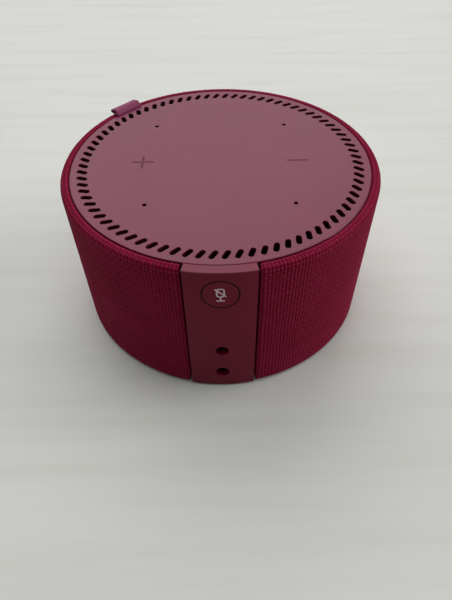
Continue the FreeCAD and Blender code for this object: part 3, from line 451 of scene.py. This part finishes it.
# Half of the jacket, from the folded end beside the strip round to the back.
# Rows follow the rolled section from the top tuck over the lip, down the wall and under the hem.
# Columns run inwards up the folded end, round its corner, and then along the cylinder.
# Height over the base surface is the higher of two crossing thread ribs:
# rib(x) = root of (1 - offset squared), plus a cosine swing that alternates from thread to thread.
def jacketHalf(name, side, radius, low, high, endAngle, material):
    j = jacket
    inset = j["threadHeight"] + 0.5 * j["crimp"]
    lipR = radius - j["lip"]
    corners = [
        (lipR + 0.5 * inset, high - j["tuck"]),
        (lipR + 0.5 * inset, high - inset, max(j["innerRound"] - inset, 0.2 * mm)),
        (radius - inset, high - inset, j["lipRound"] - inset),
        (radius - inset, low + inset, j["hemRound"] - inset),
        (lipR + inset, low + inset, 0.2 * mm),
        (lipR + inset, low + j["tuck"]),
    ]
    # walked from the inner tuck outwards, so the outward side is on the left: normals are turned round
    pieces = pathPieces(corners)
    rowLength = pathLength(pieces)
    weftCount = round(rowLength / j["weftPitch"])
    rows = weftCount * j["perWeft"] + 1
    y = np.linspace(0, weftCount, rows)
    section, normal = alongPath(pieces, y / weftCount * rowLength)
    normal = -normal

    cornerLength = j["endRound"] * math.pi / 2
    straightIn = j["endWrap"] - j["endRound"]
    arcLength = radius * math.radians(180 - endAngle) - j["endRound"]
    total = straightIn + cornerLength + arcLength
    warpCount = round(total / j["warpPitch"])
    columns = warpCount * j["perWarp"] + 1
    x = np.linspace(0, warpCount, columns)
    s = x / warpCount * total
    phase = np.clip((s - straightIn) / cornerLength, 0, 1) * math.pi / 2
    inwards = np.where(s < straightIn, j["endWrap"] - s, j["endRound"] * (1 - np.sin(phase)))
    swept = j["endRound"] * (1 - np.cos(phase)) + np.clip(s - straightIn - cornerLength, 0, None)
    angle = math.radians(endAngle) + swept / radius
    faceOut, faceSide = np.sin(phase), np.cos(phase)

    rng = np.random.default_rng(j["seed"] + (side > 0))
    column = np.minimum(np.floor(x), warpCount - 1)
    row = np.minimum(np.floor(y), weftCount - 1)
    parity = 1 if side > 0 else 0
    warpGain = rng.normal(1, j["threadSpread"], warpCount)[column.astype(int)]
    weftGain = rng.normal(1, j["threadSpread"], weftCount)[row.astype(int)]

    def rib(value):
        return np.sqrt(np.clip(1 - (2 * (value - np.floor(value)) - 1) ** 2, 0, None))

    warpRib = j["threadHeight"] * rib(x) * warpGain
    weftRib = j["weftRib"] * j["threadHeight"] * rib(y) * weftGain
    warp = warpRib[None, :] + j["crimp"] * np.cos(math.pi * (y[:, None] - 0.5 + (column + parity)[None, :]))
    weft = weftRib[:, None] - j["crimp"] * np.cos(math.pi * (x[None, :] - 0.5 + row[:, None] + parity))
    height = np.maximum(warp, weft)

    # the lip's inner rows and the tuck can't fold inwards as far as the wall can
    tuck, wall = j["tuck"], j["tuck"] + j["lip"]
    roomAt = [0, tuck, wall, rowLength - tuck - j["lip"], rowLength - tuck, rowLength]
    room = np.interp(np.arange(rows) / (rows - 1) * rowLength, roomAt, j["foldRoom"] + j["foldRoom"][::-1])
    relief = np.where(phase > 0, 1, j["tuckedRelief"])
    depth = inwards[None, :] * room[:, None] - height * relief[None, :] * faceOut[None, :]
    across = section[:, 0][:, None] - normal[:, 0][:, None] * depth
    z = section[:, 1][:, None] - normal[:, 1][:, None] * depth
    fade = np.clip((math.pi - angle) / j["waverFade"], 0, 1)[None, :]
    slowWave = np.sin(21 * angle[None, :] + 90 * z)
    quickWave = np.sin(47 * angle[None, :] - 260 * z)
    waver = j["waver"] * fade * (slowWave + quickWave)
    sideways = -height * faceSide[None, :] * room[:, None] + waver * faceOut[None, :]
    theta = angle[None, :] + sideways / radius
    turned = np.radians(-90) + side * theta
    outer = np.stack([across * np.cos(turned), across * np.sin(turned), z], -1)

    # plain inner face, with the same columns and few rows
    innerRows = j["innerRows"]
    innerY = np.linspace(0, rowLength, innerRows)
    innerSection, innerNormal = alongPath(pieces, innerY)
    innerNormal = -innerNormal
    innerRoom = np.interp(innerY / rowLength, np.arange(rows) / (rows - 1), room)
    innerDepth = inwards[None, :] * innerRoom[:, None] + j["thickness"]
    innerAcross = innerSection[:, 0][:, None] - innerNormal[:, 0][:, None] * innerDepth
    innerZ = innerSection[:, 1][:, None] - innerNormal[:, 1][:, None] * innerDepth
    innerTheta = angle[None, :] + j["thickness"] * faceSide[None, :] / radius
    innerTurned = np.radians(-90) + side * innerTheta
    inner = np.stack([innerAcross * np.cos(innerTurned), innerAcross * np.sin(innerTurned), innerZ], -1)

    # fewer columns inside: one for each warp thread, and the last
    keep = np.arange(0, columns, j["perWarp"])
    inner = inner[:, keep]
    outerCount = rows * columns
    flip = side < 0
    faces = [
        gridFaces(rows, columns, 0, not flip),
        gridFaces(innerRows, len(keep), outerCount, flip),
    ]

    # zip an edge of the fine grid to an edge of the coarse one with triangles
    def zipEdges(fine, coarse, flipped):
        nearest = np.round(np.linspace(0, len(coarse) - 1, len(fine))).astype(int)
        one = np.stack([fine[:-1], fine[1:], coarse[nearest[:-1]]], -1)
        steps = np.nonzero(np.diff(nearest))[0]
        two = np.stack([coarse[nearest[steps]], fine[steps + 1], coarse[nearest[steps + 1]]], -1)
        both = np.vstack([one, two])
        return both[:, ::-1] if flipped else both

    outerIndex = np.arange(outerCount).reshape(rows, columns)
    innerIndex = outerCount + np.arange(innerRows * len(keep)).reshape(innerRows, len(keep))
    faces += [
        zipEdges(outerIndex[0], innerIndex[0], flip),
        zipEdges(outerIndex[-1], innerIndex[-1], not flip),
        zipEdges(outerIndex[:, 0], innerIndex[:, 0], not flip),
        zipEdges(outerIndex[:, -1], innerIndex[:, -1], flip),
    ]
    points = np.vstack([outer.reshape(-1, 3), inner.reshape(-1, 3)])
    threads = np.stack(np.broadcast_arrays((x + parity)[None, :], y[:, None]), -1).reshape(-1, 2)
    innerThreads = np.zeros((innerRows * len(keep), 2))
    allFaces = [tuple(face) for block in faces for face in block.tolist()]
    piece = meshObject(name, points, allFaces, True, np.vstack([threads, innerThreads]))
    piece.data.materials.append(material)
    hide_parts("fabric_sleeve")
    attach(piece, "housing")
    print(name, "cut", round(rowLength / mm, 1), "by", round(total / mm, 1), "mm")
    return piece


def makeJacket():
    sleeve, strip = nodePoints("fabric_sleeve"), nodePoints("control_strip")
    radius = float(np.hypot(sleeve[:, 0], sleeve[:, 1]).max())
    front = strip[np.hypot(strip[:, 0], strip[:, 1]) > radius - 0.1 * mm]
    stripAngle = float(np.degrees(np.abs(np.arctan2(front[:, 0], -front[:, 1])).max()))
    relief = jacket["threadHeight"] + 0.5 * jacket["crimp"]
    endAngle = stripAngle + math.degrees((jacket["groove"] + relief) / radius)
    low, high = sleeve[:, 2].min(), sleeve[:, 2].max()
    material = wovenMaterial("jacketCloth", jacketLook)
    for name, side in (("jacket_left", -1), ("jacket_right", 1)):
        piece = jacketHalf(name, side, radius, low, high, endAngle, material)
        print(name, len(piece.data.polygons), "faces")


tag = {
    "angle": 135.0,
    "width": 10.4 * mm,
    "thickness": 0.45 * mm,
    "selvedge": 0.12 * mm,             # thicker woven edge
    "lift": 0.07 * mm,                 # over the fabric lip
    "samples": 150,
    "across": 28,
    "threadPitch": 0.42 * mm,
    "bow": 0.25 * mm,                  # the crown sags between its edges
    "clampIn": 3.15,                   # half thicknesses between the root and the leg that comes up
    "clampRound": 0.3 * mm,
    "lipRound": 0.42 * mm,
    "noseRound": 0.4 * mm,
    "noseHeight": 0.55,                # share of the height over the plate
    "crownAt": 0.62,                   # share of the way back from the nose
    "crownRound": 0.9 * mm,
    "backRound": 0.8 * mm,
    "backHeight": 0.35,
    "edgeFillet": 0.12 * mm,
    "edgeIn": 0.35 * mm,
    "edgeSpread": 0.3 * mm,
}

tagLook = {
    "warp": rgb(136, 52, 90),
    "weft": rgb(112, 36, 70),
    "paleThreadAndHighlight": rgb(165, 90, 122),
    "crestHighlight": 0.3,
    "pitShadeColour": rgb(50, 8, 26),
    "pitShadeAmount": 0.6,
    "uneven": 0.3,
    "cloud": 0.15,
    "twist": 5.0,
    "lint": 0.04,
    "lintColour": rgb(200, 170, 180),
    "rough": 0.62,
    "specular": 0.2,
    "sheen": 0.15,
    "sheenTint": rgb(225, 180, 205),
    "bump": 0.6,
    "bumpDepth": 0.00008,
}


# A ribbon carried along a teardrop path: up out of the gap, out over the lip, back over the top and down.
# Thickness grows near both edges as a bell curve, for the woven selvedge, and rounds off at the very edge.
def makeTag():
    t = tag
    cad = nodePoints("tag_loop")
    spin = math.radians(-t["angle"])
    local = cad[:, 0] * math.cos(spin) - cad[:, 1] * math.sin(spin)
    reach, root = local.max(), local.min()
    top, anchor = cad[:, 2].max(), cad[:, 2].min()
    plateTop = nodePoints("control_strip")[:, 2].max()
    half = t["thickness"] / 2
    crown = reach - t["crownAt"] * (reach - root)
    rising = root + t["clampIn"] * half
    overLip = plateTop + t["lift"] + half
    corners = [
        (rising, anchor),
        (rising, overLip, t["clampRound"]),
        (reach - half, overLip, t["lipRound"]),
        (reach - half, plateTop + t["noseHeight"] * (top - plateTop), t["noseRound"]),
        (crown, top - half, t["crownRound"]),
        (root + half, plateTop + t["backHeight"] * (top - plateTop), t["backRound"]),
        (root + half, anchor),
    ]
    pieces = pathPieces(corners)
    length = pathLength(pieces)
    s = np.linspace(0, length, t["samples"])
    centre, normal = alongPath(pieces, s)
    w = np.linspace(-0.5, 0.5, t["across"]) * t["width"]
    fromEdge = np.abs(w) - 0.5 * t["width"]
    edge = np.exp(-((fromEdge + t["edgeIn"]) / t["edgeSpread"]) ** 2)
    overEdge = np.clip(fromEdge + t["edgeFillet"], 0, None) / t["edgeFillet"]
    edgeRound = np.sqrt(np.clip(1 - overEdge ** 2, 0.04, 1))
    thick = (half + 0.5 * t["selvedge"] * edge) * edgeRound
    lifted = np.clip((centre[:, 1] - plateTop) / (top - plateTop), 0, 1)
    sag = -t["bow"] * np.outer(lifted ** 2, np.cos(math.pi * w / t["width"]))
    faces, points, threads = [], [], []
    count = t["samples"] * t["across"]
    for layer, sign in enumerate((1, -1)):
        radial = centre[:, 0][:, None] + sign * normal[:, 0][:, None] * thick[None, :]
        z = centre[:, 1][:, None] + sign * normal[:, 1][:, None] * thick[None, :] + sag
        tangential = np.broadcast_to(w[None, :], z.shape)
        points.append(np.stack([radial, tangential, z], -1).reshape(-1, 3))
        acrossThreads, alongThreads = w[None, :] / t["threadPitch"], s[:, None] / t["threadPitch"]
        threads.append(np.stack(np.broadcast_arrays(acrossThreads, alongThreads), -1).reshape(-1, 2))
        faces.append(gridFaces(t["samples"], t["across"], layer * count, sign < 0))
    a = np.arange(count).reshape(t["samples"], t["across"])
    rim = np.concatenate([a[0, :-1], a[:-1, -1], a[-1, :0:-1], a[:0:-1, 0]])
    following = np.roll(rim, -1)
    faces.append(np.stack([following, rim, rim + count, following + count], -1))
    flat = np.vstack(points)
    angle = -spin
    turned = np.column_stack([flat[:, 0] * math.cos(angle) - flat[:, 1] * math.sin(angle),
                              flat[:, 0] * math.sin(angle) + flat[:, 1] * math.cos(angle), flat[:, 2]])
    allFaces = [tuple(face) for block in faces for face in block.tolist()]
    piece = meshObject("tag_ribbon", turned, allFaces, True, np.vstack(threads))
    piece.data.materials.append(wovenMaterial("tagCloth", tagLook))
    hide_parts("tag_loop")
    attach(piece, "housing")
    print("tag", len(piece.data.polygons), "faces, ribbon", round(length / mm, 1), "mm")


plateLook = {
    "dark": rgb(111, 16, 54),
    "light": rgb(116, 18, 57),
    "rough": 0.42,
    "specular": 0.45,
    "grainSize": 0.22,
    "bump": 0.25,
    "bumpDepth": 0.00006,
    "dust": 0.05,
    "dustColour": rgb(205, 190, 195),
    "shadeBelow": 51.75 * mm,          # the slots and the gap round the plate go dark below this height
    "shadeBand": 1.3 * mm,
    "shade": 0.95,
    "shadeColour": rgb(6, 1, 3),
}

stripLook = {
    **plateLook,
    "dark": rgb(108, 3, 38),
    "light": rgb(113, 4, 41),
    "specular": 0.14,
    "dust": 0.03,
    "shade": 0.0,
    "paintedTopHighlight": (51.3 * mm, 51.95 * mm, 0.10),           # painted highlight on the top edge: from, to, how much
    "topHighlightColour": rgb(205, 165, 185),
    "paintedShadowLines": ((43.8 * mm, 5.12 * mm, 0.36 * mm),),       # shadow line round the button
    "shadowLineColour": rgb(16, 1, 6),
}

markLook = {
    **plateLook,
    "dark": rgb(92, 12, 30),
    "light": rgb(98, 15, 34),
    "rough": 0.6,
    "specular": 0.35,
    "dust": 0.0,
    "shade": 0.0,
}

iconLook = {
    **plateLook,
    "dark": rgb(204, 178, 188),
    "light": rgb(214, 190, 200),
    "rough": 0.5,
    "dust": 0.0,
    "shade": 0.0,
}

# dark, light, rough, grain size, bump, dust; the rest is as on the strip
innerLooks = {
    "base_plastic": ((70, 20, 32), (78, 24, 38), 0.5, 0.4, 0.4, 0.03),
    "foot_rubber": ((40, 26, 30), (50, 34, 38), 0.75, 0.5, 0.3, 0.03),
    "black_plastic": ((18, 18, 20), (26, 26, 28), 0.5, 0.22, 0.25, 0.0),
    "shell_plastic": ((60, 16, 28), (66, 20, 32), 0.55, 0.22, 0.25, 0.0),
    "chip_black": ((22, 22, 24), (34, 34, 36), 0.6, 0.12, 0.25, 0.0),
    "soft_silicone": ((48, 48, 50), (58, 58, 60), 0.7, 0.22, 0.25, 0.0),
    "cone_paper": ((24, 24, 26), (40, 40, 42), 0.8, 0.6, 0.5, 0.0),
    "surround_rubber": ((14, 14, 15), (22, 22, 24), 0.45, 0.22, 0.25, 0.0),
    "wire_jacket": ((150, 20, 22), (170, 30, 30), 0.4, 0.22, 0.25, 0.0),
    "film_amber": ((160, 96, 30), (186, 118, 44), 0.3, 0.22, 0.05, 0.0),
    "scrim_cloth": ((5, 3, 4), (18, 10, 13), 0.9, 0.18, 0.6, 0.0),
    "spider_cloth": ((150, 112, 58), (176, 138, 80), 0.85, 0.35, 0.6, 0.0),
}

# colour, rough
metalLooks = {
    "tin": (rgb(190, 190, 194), 0.30),
    "screw_steel": (rgb(92, 92, 96), 0.38),
    "contact_gold": (rgb(222, 184, 96), 0.25),
    "copper": (rgb(196, 112, 72), 0.35),
    "motor_steel": (rgb(158, 160, 168), 0.35),
    "ferrite": (rgb(60, 60, 64), 0.6),
    "basket_steel": (rgb(40, 40, 44), 0.45),
}

boardLook = {
    "field": rgb(16, 84, 44),
    "secondField": rgb(20, 96, 52),
    "track": rgb(34, 122, 68),
    "scale": 260.0,
    "trackWidth": 0.035,
}


def finishPlastics():
    looks = {
        "plate_plastic": plateLook,
        "strip_plastic": stripLook,
        "mark_ink": markLook,
        "icon_ink": iconLook,
    }
    for slot, (dark, light, rough, grainSize, bump, dust) in innerLooks.items():
        own = {"dark": rgb(*dark), "light": rgb(*light), "rough": rough}
        looks[slot] = {**stripLook, **own, "grainSize": grainSize, "bump": bump, "dust": dust}
    return {slot: plasticMaterial(slot, look) for slot, look in looks.items()}


def metalMaterial(name, colour, rough):
    material, tree, shader = newMaterial(name)
    place = addNode(tree, "ShaderNodeTexCoord").outputs["Object"]
    brushed = addNode(tree, "ShaderNodeMapping", {"Vector": place, "Scale": (900.0, 900.0, 90.0)}).outputs[0]
    lines = noiseValue(tree, brushed, 4.0, 3.0)
    brushedColour = blendColour(tree, ramp(tree, lines, 0.3, 0.7, 0, 0.35), colour, rgb(235, 232, 226))
    tree.links.new(brushedColour, shader.inputs["Base Color"])
    shader.inputs["Metallic"].default_value = 1.0
    tree.links.new(ramp(tree, lines, 0.3, 0.7, rough - 0.08, rough + 0.12), shader.inputs["Roughness"])
    addBump(tree, shader, lines, 0.2, 0.00003)
    return material


def boardMaterial(name):
    material, tree, shader = newMaterial(name)
    place = addNode(tree, "ShaderNodeTexCoord").outputs["Object"]
    tracks = addNode(tree, "ShaderNodeTexBrick", {
        "Vector": place,
        "Scale": boardLook["scale"],
        "Mortar Size": boardLook["trackWidth"],
        "Color1": boardLook["field"],
        "Color2": boardLook["secondField"],
        "Mortar": boardLook["track"],
    }).outputs
    tree.links.new(tracks["Color"], shader.inputs["Base Color"])
    tree.links.new(ramp(tree, tracks["Fac"], 0, 1, 0.32, 0.24), shader.inputs["Roughness"])
    addBump(tree, shader, tracks["Fac"], 0.3, 0.00004)
    return material


def finishParts():
    finishes = finishPlastics()
    for slot, (colour, rough) in metalLooks.items():
        finishes[slot] = metalMaterial(slot, colour, rough)
    finishes["board_green"] = boardMaterial("board_green")
    for part in frame["record"]["subparts"]:
        node = nodes[part["node"]]
        if part["material_slot"] in finishes:
            node.data.materials.clear()
            node.data.materials.append(finishes[part["material_slot"]])
    print("finished", len(finishes), "materials")


floorLook = {
    "size": 4.0,
    "base": rgb(212, 212, 207),
    "grain": rgb(199, 196, 189),
    "stretch": (6.0, 70.0, 1.0),
    "rough": 0.55,
}


def makeFloor():
    half = floorLook["size"] / 2
    points = [(-half, -half, 0), (half, -half, 0), (half, half, 0), (-half, half, 0)]
    floor = meshObject("floor", points, [(0, 1, 2, 3)], False)
    material, tree, shader = newMaterial("paleFloor")
    place = addNode(tree, "ShaderNodeTexCoord").outputs["Object"]
    long = addNode(tree, "ShaderNodeMapping", {"Vector": place, "Scale": floorLook["stretch"]}).outputs[0]
    streak = ramp(tree, noiseValue(tree, long, 1.5, 5.0), 0.45, 0.75, 0, 0.5)
    colour = blendColour(tree, streak, floorLook["base"], floorLook["grain"])
    tree.links.new(colour, shader.inputs["Base Color"])
    shader.inputs["Roughness"].default_value = floorLook["rough"]
    floor.data.materials.append(material)
    print("floor", floorLook["size"], "m")


makeCamera()
makeLights()
makeFloor()
makeJacket()
makeTag()
finishParts()
